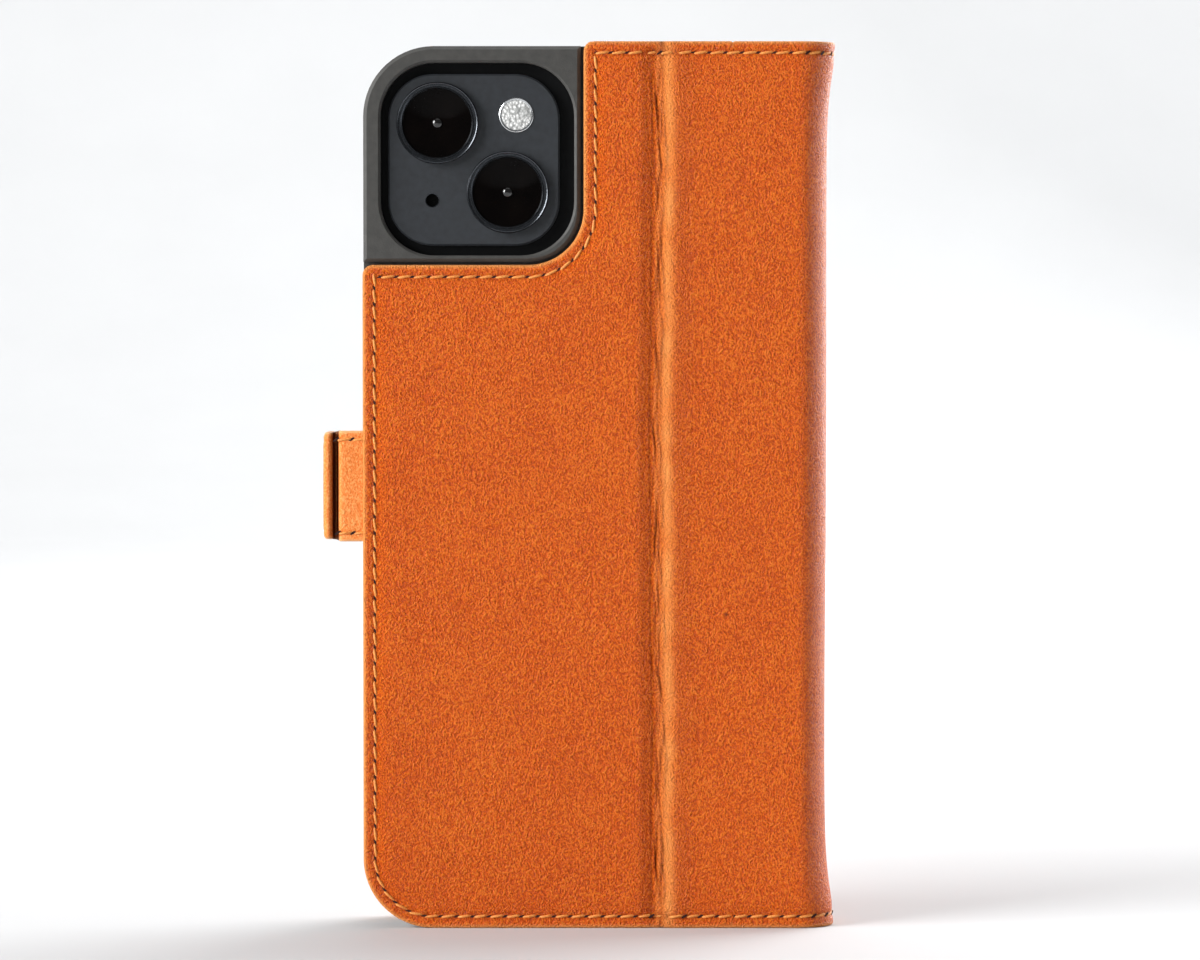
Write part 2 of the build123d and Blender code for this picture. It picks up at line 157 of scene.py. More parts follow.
# ---- Materials ----
def full_grain_leather(name, dark, middle, light, rim, gloss, relief=1.0, mark=None):
    """Aniline-dyed full-grain cowhide: dye pools in the grain, so it mottles, and the wax on it gleams.

    The point attribute rim paints edges and puts a painted highlight on the crease's slope and ridge; a
    second point attribute darkens hollows with painted shade."""
    made, tree = new_material(name)
    place = object_place(tree)
    clouds = noise(tree, place, 12, 3)
    # The grain's wrinkles run in short slanting strokes, about 0.3 mm apart
    slanted = add(
        tree, "ShaderNodeMapping", {"Vector": place},
        {"Rotation": (0.0, 0.6, 0.0), "Scale": (1.0, 1.0, 0.8)},
    ).outputs[0]
    strokes = noise(tree, slanted, 0.3, 3, 0.55)
    speckle = noise(tree, place, 0.8, 3, 0.6)
    fine = add(tree, "ShaderNodeMath", {0: strokes}, {1: 0.75, 2: 0.26}, operation="MULTIPLY_ADD")
    cloudy = add(
        tree, "ShaderNodeMath", {0: clouds, 2: fine.outputs[0]}, {1: 0.08}, operation="MULTIPLY_ADD"
    )
    hide = ramp(tree, cloudy.outputs[0], [(0.58, dark), (0.675, middle), (0.77, light)])
    # The rim attribute mixes in the rim colour: paint on the cut edges, and a painted highlight on the
    # crease's slope and ridge
    edge = add(tree, "ShaderNodeAttribute", attribute_name="rim")
    painted = add(
        tree, "ShaderNodeMix", {0: edge.outputs["Fac"], 6: hide}, {7: srgb(rim)}, data_type="RGBA"
    )
    # Painted shade: this point attribute marks the crease, the stitch grooves and the strap's slit, where
    # shade falls
    painted_shade_and_scar = add(tree, "ShaderNodeAttribute", attribute_name="painted_shade").outputs["Fac"]
    if mark:
        # One small natural scar in the hide
        away = add(
            tree, "ShaderNodeVectorMath", {0: place}, {1: [value * MM for value in mark]},
            operation="DISTANCE",
        )
        scar = add(
            tree, "ShaderNodeMapRange", {"Value": away.outputs["Value"]},
            {"From Min": 0.15 * MM, "From Max": 0.45 * MM, "To Min": 0.8, "To Max": 0.0},
        )
        painted_shade_and_scar = add(
            tree, "ShaderNodeMath", {0: painted_shade_and_scar, 1: scar.outputs[0]}, operation="MAXIMUM"
        ).outputs[0]
    # Painted shade and the scar are mixed towards this dark brown
    with_painted_shade = add(
        tree, "ShaderNodeMix", {0: painted_shade_and_scar, 6: painted.outputs[2]},
        {7: srgb("#420800")}, data_type="RGBA",
    )
    grain = add(tree, "ShaderNodeBump", {"Height": strokes}, {"Strength": relief, "Distance": 1.0 * MM})
    folds = add(
        tree, "ShaderNodeBump", {"Height": noise(tree, slanted, 1.5, 3, 0.6), "Normal": grain.outputs[0]},
        {"Strength": 0.5 * relief, "Distance": 0.5 * MM},
    )
    polish = add(
        tree, "ShaderNodeMapRange", {"Value": speckle},
        {"From Min": 0.3, "From Max": 0.7, "To Min": gloss - 0.06, "To Max": gloss + 0.1},
    )
    return surface(
        made,
        {"Base Color": with_painted_shade.outputs[2], "Normal": folds.outputs[0], "Roughness": polish.outputs[0]},
        {"IOR": 1.5, "Specular IOR Level": 0.24},
    )


def waxed_linen_thread():
    """Waxed linen thread: twisted strands, paler than the hide, with a soft gleam."""
    made, tree = new_material("waxed_linen_thread")
    place = object_place(tree)
    strands = noise(tree, place, 0.25, 2)
    colour = ramp(tree, strands, [(0.3, "#D06E20"), (0.7, "#FAAA54")])
    twist = add(tree, "ShaderNodeBump", {"Height": strands}, {"Strength": 0.5, "Distance": 0.1 * MM})
    return surface(made, {"Base Color": colour, "Normal": twist.outputs[0]}, {"Roughness": 0.55})


def needle_shadow():
    """Painted shade for the inside of a stitch hole: a near-black brown, where the hole lies in shadow."""
    made, tree = new_material("needle_shadow")
    hole_shade = ramp(tree, noise(tree, object_place(tree), 0.3), [(0.3, "#1E0702"), (0.7, "#3A1205")])
    return surface(made, {"Base Color": hole_shade}, {"Roughness": 0.9})


def moulded_plastic(name, dark, light, roughness, relief, pitch_mm, shine=0.5):
    """Moulded thermoplastic: one dyed colour, with the fine texture of the sparked mould."""
    made, tree = new_material(name)
    place = object_place(tree)
    colour = ramp(tree, noise(tree, place, pitch_mm * 6, 4), [(0.3, dark), (0.7, light)])
    texture = noise(tree, place, pitch_mm, 2)
    skin = add(tree, "ShaderNodeBump", {"Height": texture}, {"Strength": relief, "Distance": 0.1 * MM})
    gleam = add(
        tree, "ShaderNodeMapRange", {"Value": texture},
        {"From Min": 0.3, "From Max": 0.7, "To Min": roughness - 0.05, "To Max": roughness + 0.05},
    )
    return surface(
        made, {"Base Color": colour, "Normal": skin.outputs[0], "Roughness": gleam.outputs[0]},
        {"Specular IOR Level": shine},
    )


def anodised_aluminium(name, dark, light, roughness):
    """Anodised aluminium: blasted metal under a dyed oxide film, satin and metallic."""
    made, tree = new_material(name)
    place = object_place(tree)
    blasted = noise(tree, place, 0.2, 2)
    colour = ramp(tree, blasted, [(0.3, dark), (0.7, light)])
    skin = add(tree, "ShaderNodeBump", {"Height": blasted}, {"Strength": 0.06, "Distance": 0.1 * MM})
    return surface(
        made, {"Base Color": colour, "Normal": skin.outputs[0]},
        {"Metallic": 1.0, "Roughness": roughness},
    )


def optical_glass(name, shine):
    """Coated lens glass over a blackened barrel: nearly black, with a sharp polished gleam."""
    made, tree = new_material(name)
    tint = ramp(tree, noise(tree, object_place(tree), 5), [(0.3, "#050404"), (0.7, "#0A0706")])
    return surface(made, {"Base Color": tint}, {"Roughness": 0.06, "IOR": 1.5, "Specular IOR Level": shine})


def prismatic_flash():
    """Moulded diffuser over the flash: white, cut into small facets that glitter."""
    made, tree = new_material("prismatic_flash")
    place = object_place(tree)
    facets = add(tree, "ShaderNodeTexVoronoi", {"Vector": place}, {"Scale": 1 / (0.5 * MM)}, feature="F1")
    colour = ramp(tree, facets.outputs["Distance"], [(0.1, "#F4F4F2"), (0.75, "#A9AAA8")])
    cut = add(
        tree, "ShaderNodeBump", {"Height": facets.outputs["Distance"]},
        {"Strength": 0.7, "Distance": 0.3 * MM},
    )
    return surface(made, {"Base Color": colour, "Normal": cut.outputs[0]}, {"Roughness": 0.25})


def studio_paper():
    """Matt seamless backdrop paper."""
    made, tree = new_material("studio_paper")
    paper = ramp(tree, noise(tree, object_place(tree), 60), [(0.3, "#CFD0D1"), (0.7, "#D1D2D3")])
    return surface(made, {"Base Color": paper}, {"Roughness": 0.9})


HIDE = full_grain_leather(
    "full_grain_hide", "#CC4C02", "#EC6206", "#FB801C", "#FFA456", 0.36, mark=(25.5, BACK_FACE, 54.0)
)
LINING_HIDE = full_grain_leather("smooth_lining_hide", "#B85414", "#CA6620", "#D87A34", "#E0904C", 0.5, 0.45)
# Painted light: the strap takes a lighter copy of the hide, standing for the light on the strap, which turns
# towards the key softbox
STRAP_HIDE_PAINTED_LIT = full_grain_leather("strap_hide_painted_lighter", "#E8782C", "#F58C40", "#FDA860", "#FFBE80", 0.38, 0.4)
THREAD = waxed_linen_thread()
# Painted shade inside the stitch holes
HOLE = needle_shadow()
SHELL = moulded_plastic("moulded_tpu_shell", "#3C3B39", "#464542", 0.52, 0.35, 0.25)
PLATE = moulded_plastic("satin_camera_glass", "#2D2F32", "#33363A", 0.34, 0.05, 0.2)
PHONE_GLASS = moulded_plastic("satin_back_glass", "#050506", "#08090A", 0.5, 0.05, 0.2, 0.15)
SCREEN = moulded_plastic("screen_cover_glass", "#060708", "#0A0B0D", 0.08, 0.0, 2.0)
MESH_BLACK = moulded_plastic("microphone_mesh", "#010101", "#040404", 0.9, 0.6, 0.2, 0.05)
FRAME_METAL = anodised_aluminium("anodised_phone_frame", "#23262B", "#2C3036", 0.35)
RING_METAL = anodised_aluminium("anodised_lens_ring", "#45484C", "#5A5D62", 0.26)
FLASH_RIM = anodised_aluminium("polished_flash_rim", "#C8CACC", "#E6E8EA", 0.2)
PLATED_STEEL = anodised_aluminium("nickel_plated_steel", "#A8A6A0", "#BDBBB5", 0.25)
LENS = optical_glass("coated_optical_glass", 0.06)
LENS_CORE = optical_glass("polished_front_element", 1.0)
FLASH = prismatic_flash()
PAPER = studio_paper()


# ---- Flat outlines ----
def rounded_outline(corners, spacing=0.6):
    """Closed polyline round (x, y, radius) corners given anticlockwise, with its points evenly spaced."""
    arcs = []
    for i, (x, y, radius) in enumerate(corners):
        here = np.array([x, y], float)
        before = np.array(corners[i - 1][:2], float) - here
        after = np.array(corners[(i + 1) % len(corners)][:2], float) - here
        before /= np.linalg.norm(before)
        after /= np.linalg.norm(after)
        half = math.acos(np.clip(before @ after, -1, 1)) / 2
        reach = radius / math.tan(half)
        bisector = (before + after) / np.linalg.norm(before + after)
        centre = here + bisector * radius / math.sin(half)
        arcs.append((here + before * reach, here + after * reach, centre, radius))
    points = []
    for i, (start, end, centre, radius) in enumerate(arcs):
        a0 = math.atan2(*(start - centre)[::-1])
        turn = math.atan2(*(end - centre)[::-1]) - a0
        turn = (turn + math.pi) % (2 * math.pi) - math.pi
        steps = max(4, round(abs(turn) * radius / spacing))
        for k in range(steps + 1):
            angle = a0 + turn * k / steps
            points.append(centre + radius * np.array([math.cos(angle), math.sin(angle)]))
        run_end = arcs[(i + 1) % len(arcs)][0]
        steps = max(1, round(np.linalg.norm(run_end - end) / spacing))
        points += [end + (run_end - end) * k / steps for k in range(1, steps)]
    return np.array(points)


def distance_to(points, outline):
    """Distance from each point to the closed outline."""
    a = outline
    b = np.roll(outline, -1, axis=0)
    run = b - a
    square = np.maximum((run ** 2).sum(1), 1e-12)
    result = np.empty(len(points))
    for i in range(0, len(points), 2000):
        p = points[i:i + 2000, None, :]
        t = np.clip(((p - a) * run).sum(2) / square, 0, 1)
        nearest = a + run * t[..., None]
        result[i:i + 2000] = np.sqrt(((p - nearest) ** 2).sum(2)).min(1)
    return result


def inset_ring(outline, inset):
    """The outline moved inwards; points that would fold over each other are left out."""
    along = np.roll(outline, -1, axis=0) - np.roll(outline, 1, axis=0)
    along /= np.linalg.norm(along, axis=1)[:, None]
    moved = outline + inset * np.stack([-along[:, 1], along[:, 0]], axis=1)
    return moved[distance_to(moved, outline) > inset - 0.02]


def inside(points, outline):
    """Which points lie inside the closed outline."""
    a = outline
    b = np.roll(outline, -1, axis=0)
    result = np.zeros(len(points), bool)
    for i in range(0, len(points), 2000):
        x, y = points[i:i + 2000, 0, None], points[i:i + 2000, 1, None]
        crosses = (a[:, 1] > y) != (b[:, 1] > y)
        slope = (b[:, 0] - a[:, 0]) / np.where(b[:, 1] == a[:, 1], 1e-9, b[:, 1] - a[:, 1])
        result[i:i + 2000] = (crosses & (x < a[:, 0] + slope * (y - a[:, 1]))).sum(1) % 2 == 1
    return result


RINGS = (0.1, 0.25, 0.5, 0.9, 1.35, 1.75, STITCH_INSET, 2.35, 2.8, 3.4, 4.2)


def triangulate(outline, columns, rows, seams=(), rings=RINGS):
    """Points, triangles and edge distances of a flat sheet with rings along its edge and a grid inside."""
    edges = [(i, (i + 1) % len(outline)) for i in range(len(outline))]
    grid = np.array([(x, y) for x in columns for y in rows])
    grid = grid[inside(grid, outline)]
    grid = grid[distance_to(grid, outline) > rings[-1] + 0.7]
    bounds = [outline, *(inset_ring(outline, inset) for inset in rings), grid]
    total = sum(len(part) for part in bounds)
    low, high = outline[:, 1].min(), outline[:, 1].max()
    for seam in seams:
        line = np.array([(seam, y) for y in np.linspace(low - 1.0, high + 1.0, 120)])
        bounds.append(line)
        edges += [(total + k, total + k + 1) for k in range(len(line) - 1)]
        total += len(line)
    points = np.concatenate(bounds)
    flat, _, triangles, *_ = delaunay_2d_cdt(points.tolist(), edges, [], 1, 1e-4)
    flat = np.array([tuple(p) for p in flat])
    triangles = [tuple(t) for t in triangles]
    return flat, triangles, distance_to(flat, outline)


def smooth_step(value, low, high):
    """0 below low, 1 above high, smooth between them."""
    t = np.clip((value - low) / (high - low), 0, 1)
    return t * t * (3 - 2 * t)


def hump(value, middle, half_width):
    """A smooth bump of height 1 at the middle."""
    return np.exp(-((value - middle) / half_width) ** 2)


def sewn_edge(inset, round_off=0.55, press=0.22, groove=0.2, puff_end=4.6):
    """Height of the leather's face: rounded rim, pressed border, stitch groove and puffed middle."""
    rim = np.clip(round_off - inset, 0, round_off)
    rounding = -(round_off - np.sqrt(np.maximum(round_off ** 2 - rim ** 2, 0)))
    border = -press * (1 - smooth_step(inset, STITCH_INSET, puff_end))
    stitch = -groove * hump(inset, STITCH_INSET, 0.42)
    return rounding + border + stitch


# ---- Shells from sheets ----
def sheet_normals(points, triangles):
    """Vertex normals of a whole sheet, so that its pieces shade alike on both sides of a seam."""
    t = np.array(triangles)
    across = np.cross(points[t[:, 1]] - points[t[:, 0]], points[t[:, 2]] - points[t[:, 0]])
    normals = np.zeros_like(points)
    for corner in range(3):
        np.add.at(normals, t[:, corner], across)
    return normals / (np.linalg.norm(normals, axis=1)[:, None] + 1e-12)


def both_normals(face, back, triangles):
    """Vertex normals of a sheet's face and of its back."""
    return sheet_normals(face, triangles), sheet_normals(back, triangles)


def shell_mesh(name, triangles, face_points, back_points, painted, material, normals, dark=None):
    """A closed shell between a sheet's face and its back, with walls along every open edge.

    painted is the paint on its edges with the painted highlight on the crease's ridge, and dark is the
    painted shade in its hollows."""
    used = sorted({i for t in triangles for i in t})
    index = {old: new for new, old in enumerate(used)}
    count = len(used)
    places = np.concatenate([face_points[used], back_points[used]]) * MM
    faces = [tuple(index[i] for i in t) for t in triangles]
    seen = dict.fromkeys(edge for a, b, c in faces for edge in ((a, b), (b, c), (c, a)))
    walls = [(b, a, a + count, b + count) for a, b in seen if (b, a) not in seen]
    backs = [(c + count, b + count, a + count) for a, b, c in faces]
    mesh = bpy.data.meshes.new(name)
    mesh.from_pydata(places.tolist(), [], faces + walls + backs)
    mesh.update()
    rim = mesh.attributes.new("rim", "FLOAT", "POINT")
    rim.data.foreach_set("value", np.tile(painted[used], 2).astype(np.float32))
    # Painted shade on the face only; the back carries none
    painted_shade = mesh.attributes.new("painted_shade", "FLOAT", "POINT")
    dark = np.zeros_like(painted) if dark is None else dark
    painted_shade.data.foreach_set("value", np.concatenate([dark[used], 0 * dark[used]]).astype(np.float32))
    mesh.shade_smooth()
    face_normals, back_normals = normals
    both = np.concatenate([face_normals[used], -back_normals[used]])
    mesh.normals_split_custom_set_from_vertices(both.tolist())
    mesh.materials.append(material)
    return put(name, mesh)


def put(name, data):
    """Put a mesh, a lamp or the camera in the scene as an object of its own."""
    piece = bpy.data.objects.new(name, data)
    bpy.context.scene.collection.objects.link(piece)
    return piece


# ---- The wrapped leather: one sheet from the back panel round the spine to the cover ----
# Arc lengths of its runs: flat back, corner, side of the spine, corner and flat cover
BACK_RUN = SPINE_FACE - SPINE_CORNER - LEFT
CORNER_ARC = SPINE_CORNER * math.pi / 2
SIDE_RUN = COVER_FACE - BACK_FACE - 2 * SPINE_CORNER
WRAP_LENGTH = 2 * BACK_RUN + 2 * CORNER_ARC + SIDE_RUN
CREASE_S = CREASE_X - LEFT

# The sheet is cut into its panels on the flat of the flap and half way round the spine
SEAMS = [CREASE_S + 14.0, WRAP_LENGTH / 2]
WRAP_PANELS = ("back", "flap", "cover")


def corner_angles(s):
    """How far the sheet has turned round each of the spine's corners at arc length s."""
    first = np.clip(s - BACK_RUN, 0, CORNER_ARC) / SPINE_CORNER
    second = np.clip(s - BACK_RUN - CORNER_ARC - SIDE_RUN, 0, CORNER_ARC) / SPINE_CORNER
    return first, second


def wrap_normal(s):
    """Outward normal in the plan at arc length s."""
    first, second = corner_angles(s)
    angle = first + second
    return np.stack([np.sin(angle), -np.cos(angle), np.zeros_like(angle)], axis=1)


def wrap_at(s, z, proud):
    """Row-frame points, in millimetres, at arc length s and height z, standing proud of the CAD face."""
    first, second = corner_angles(s)
    side = np.clip(s - BACK_RUN - CORNER_ARC, 0, SIDE_RUN)
    front = np.maximum(s - BACK_RUN - 2 * CORNER_ARC - SIDE_RUN, 0)
    x = LEFT + np.minimum(s, BACK_RUN) + SPINE_CORNER * (np.sin(first) - 1 + np.cos(second)) - front
    y = BACK_FACE + side + SPINE_CORNER * (1 - np.cos(first) + np.sin(second))
    # The spine is drawn in between its ends, which flare where the layers are sewn together
    ends = np.exp(-(z / 8.0) ** 1.6) + np.exp(-((HEIGHT - z) / 8.0) ** 1.6)
    pull = 0.7 * ends - 0.95 * (1 - ends) - 0.2 * np.exp(-((z - 35) / 25) ** 2)
    x = x + pull * smooth_step(x, SPINE_FACE - 7, SPINE_FACE)
    angle = first + second
    return np.stack([x + np.sin(angle) * proud, y - np.cos(angle) * proud, z], axis=1)


def wrap_corners(inset):
    """Corners of the whole unrolled sheet, with the camera cut-out, at an inset from the outer leather."""
    cut = CUTOUT_RIGHT - LEFT + inset
    return [
        (inset, inset, PANEL_CORNER - inset),
        (WRAP_LENGTH - inset, inset, PANEL_CORNER - inset),
        (WRAP_LENGTH - inset, HEIGHT - inset, PANEL_CORNER - inset),
        (cut, HEIGHT - inset, SMALL_CORNER),
        (cut, CUTOUT_BOTTOM - inset, CUTOUT_CORNER + inset),
        (inset, CUTOUT_BOTTOM - inset, SMALL_CORNER),
    ]


def wavy(s, z, seed, wavelength):
    """Soft random undulation between about -1 and 1, the same at every run."""
    source = np.random.default_rng(seed)
    total = np.zeros_like(s)
    for _ in range(14):
        turn, phase = source.uniform(0, 2 * math.pi, 2)
        stretch = source.uniform(0.7, 1.6) / wavelength * 2 * math.pi
        total += np.sin(stretch * (s * math.cos(turn) + z * math.sin(turn)) + phase)
    return total / math.sqrt(14)


def crease_shape(s, z):
    """The stand crease: its broad section, its fine fanned wrinkles and the distance past its valley."""
    valley, shelf, ridge, crest = 0.52, 0.12, 0.32, 3.9
    wander = 0.18 * np.sin(z / 17.0) + 0.1 * np.sin(z / 5.3 + 1.0)
    ends = np.clip(np.exp(-z / 9.0) + np.exp(-(HEIGHT - z) / 9.0), 0, 1)
    t = s - (CREASE_S + VALLEY_SHIFT) - wander
    fall = -valley * smooth_step(t, -2.5, 0.0)
    climb = -valley + shelf * smooth_step(t, 0.0, 1.8) + (valley - shelf + ridge) * smooth_step(t, 1.3, crest)
    after = ridge * (1 - smooth_step(t, crest, 7.5))
    section = np.where(t < 0, fall, np.where(t < crest, climb, after))
    fan = 0.14 * hump(t, 0.0, 0.22)
    # Each wrinkle's place past the valley, its depth and where its wave starts
    wrinkles = [(0.55, 0.2, 0.9), (1.05, 0.24, 1.7), (1.6, 0.22, 2.6), (2.15, 0.16, 0.3), (-0.7, 0.06, 3.1)]
    for k, (offset, depth, beat) in enumerate(wrinkles):
        lean = 0.34 * np.sin(z / (2.3 + 0.6 * k) + beat * 4) + 0.14 * np.sin(z / 1.1 + beat)
        strength = 0.35 + 0.65 * np.sin(z / (3.4 + 1.1 * k) + beat) ** 2
        fan += depth * strength * hump(t, offset + lean, 0.15)
    return section, fan * (1 + 0.6 * ends), t


def wrap_height(s, z, inset):
    """Height of the outer leather's face over the whole sheet."""
    soft = 0.015 * wavy(s, z, 3, 40.0) + 0.006 * wavy(s, z, 5, 9.0)
    calm = smooth_step(inset, STITCH_INSET, 7.0)
    section, fan, _ = crease_shape(s, z)
    crease = (section - fan) * (0.3 + 0.7 * smooth_step(inset, 0.4, 3.0))
    return sewn_edge(inset) + soft * calm + crease - PANEL_DEPTH


def wrap_columns():
    """Grid columns of the unrolled sheet, close together across the crease and the spine's corners."""
    spine_start = BACK_RUN - 3.0
    spine_end = WRAP_LENGTH - spine_start
    return np.concatenate([
        np.arange(1.0, CREASE_S - 3.6, 1.6),
        np.arange(CREASE_S - 3.4, CREASE_S - 1.6, 0.5),
        np.arange(CREASE_S - 1.6, CREASE_S + 3.2, 0.17),
        np.arange(CREASE_S + 3.4, CREASE_S + 5.0, 0.4),
        np.arange(CREASE_S + 5.6, spine_start, 1.6),
        np.arange(spine_start, spine_end, 0.7),
        np.arange(spine_end + 0.8, WRAP_LENGTH, 1.6),
    ])


def joint_place(name):
    """A joint's axis position in the plan, in millimetres."""
    found = [joint for joint in frame["joints"] if joint["name"] == name][0]
    return np.array(found["pos_m"]) / MM


# Each fold's two bodies and joint, and where the leather's bend starts and ends from the joint's axis
WRAP_FOLDS = [
    ("phone_side", "stand_flap", "stand_crease", (-2.2, 0, 0), (2.2, 0, 0)),
    ("stand_flap", "spine", "spine_fold", (-1.6, -2.4, 0), (2.6, 1.8, 0)),
    ("spine", "front_cover", "cover_open", (1.2, -2.6, 0), (-2.6, 1.2, 0)),
]


def bend(piece, body_a, body_b, joint, start, end):
    """Bake a piece's placement into its mesh."""
    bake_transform(piece)


def split_by_seams(flat, triangles, seams):
    """Lists of triangles between the seams, from the left of the unrolled sheet to its right."""
    groups = [[] for _ in range(len(seams) + 1)]
    for t in triangles:
        middle = flat[list(t), 0].mean()
        groups[int(np.searchsorted(seams, middle))].append(t)
    return groups


def lay_sheet(suffix, sheet, face, back, rim, hide, replaced, dark=None):
    """Cut a wrapped sheet into its panels as closed pieces, and hide the CAD nodes that they replace."""
    flat, triangles, _ = sheet
    normals = both_normals(face, back, triangles)
    for which, part in enumerate(split_by_seams(flat, triangles, SEAMS)):
        piece = shell_mesh(WRAP_PANELS[which] + suffix, part, face, back, rim, hide, normals, dark)
        bend(piece, *WRAP_FOLDS[which])
        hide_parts(*replaced[which])


def make_wrap():
    """The outer leather, in three pieces."""
    outline = rounded_outline(wrap_corners(0.0))
    sheet = triangulate(outline, wrap_columns(), np.arange(0.8, HEIGHT, 1.2), SEAMS)
    s, z, inset = sheet[0][:, 0], sheet[0][:, 1], sheet[2]
    face = wrap_at(s, z, wrap_height(s, z, inset))
    back = wrap_at(s, z, -LEATHER)
    _, fan, past = crease_shape(s, z)
    # Painted shade: darker along the crease's valley, in its fine wrinkles and in the stitch groove
    dark = 0.22 * hump(past, 0.0, 0.4) + 1.7 * fan * (past > 0.3)
    dark += 0.22 * smooth_step(inset, 0.3, 0.9) * hump(inset, STITCH_INSET, 0.5)
    # The cut edge is painted. On the crease, the climb between the wrinkles is lightened as a painted
    # highlight, and the ridge pales partly as pull-up leather stretched over it and partly as a painted
    # highlight
    edge = 1 - smooth_step(inset, 0.15, 0.75)
    slope = 0.35 * smooth_step(past, 0.3, 0.8) * (past < 2.4) * np.clip(1 - fan / 0.12, 0, 1)
    ridge = (0.68 + 0.14 * wavy(s, z, 8, 7.0)) * hump(past, 2.75, 1.15)
    rim = np.maximum(np.maximum(edge, slope), ridge)
    replaced = [("back_leather", "flap_leather"), ("spine_leather",), ("cover_leather",)]
    lay_sheet("_wrap", sheet, face, back, rim, HIDE, replaced, dark)


make_wrap()


# ---- Lining: the same sheet inside, with its own rounded edge ----
LINING_DEPTH = LEATHER + 0.02
LINING_THICK = 1.15
LINING_INSET = 0.45


def make_lining():
    """Board and lining together, a slightly smaller sheet glued inside the outer leather."""
    outline = rounded_outline(wrap_corners(LINING_INSET))
    rings = (0.15, 0.4, 1.0, 2.0, 3.2)
    sheet = triangulate(outline, wrap_columns(), np.arange(0.8, HEIGHT, 2.4), SEAMS, rings)
    s, z, inset = sheet[0][:, 0], sheet[0][:, 1], sheet[2]
    rounding = 0.9 * np.clip(0.4 - inset, 0, 0.4)
    back = wrap_at(s, z, rounding - LINING_DEPTH - LINING_THICK)
    face = wrap_at(s, z, -LINING_DEPTH)
    rim = 1 - smooth_step(inset, 0.1, 0.6)
    replaced = [
        ("back_lining", "back_board", "flap_lining", "flap_board"),
        ("spine_lining", "spine_board"),
        ("cover_lining", "cover_board"),
    ]
    lay_sheet("_lining_sheet", sheet, face, back, rim, LINING_HIDE, replaced)


make_lining()


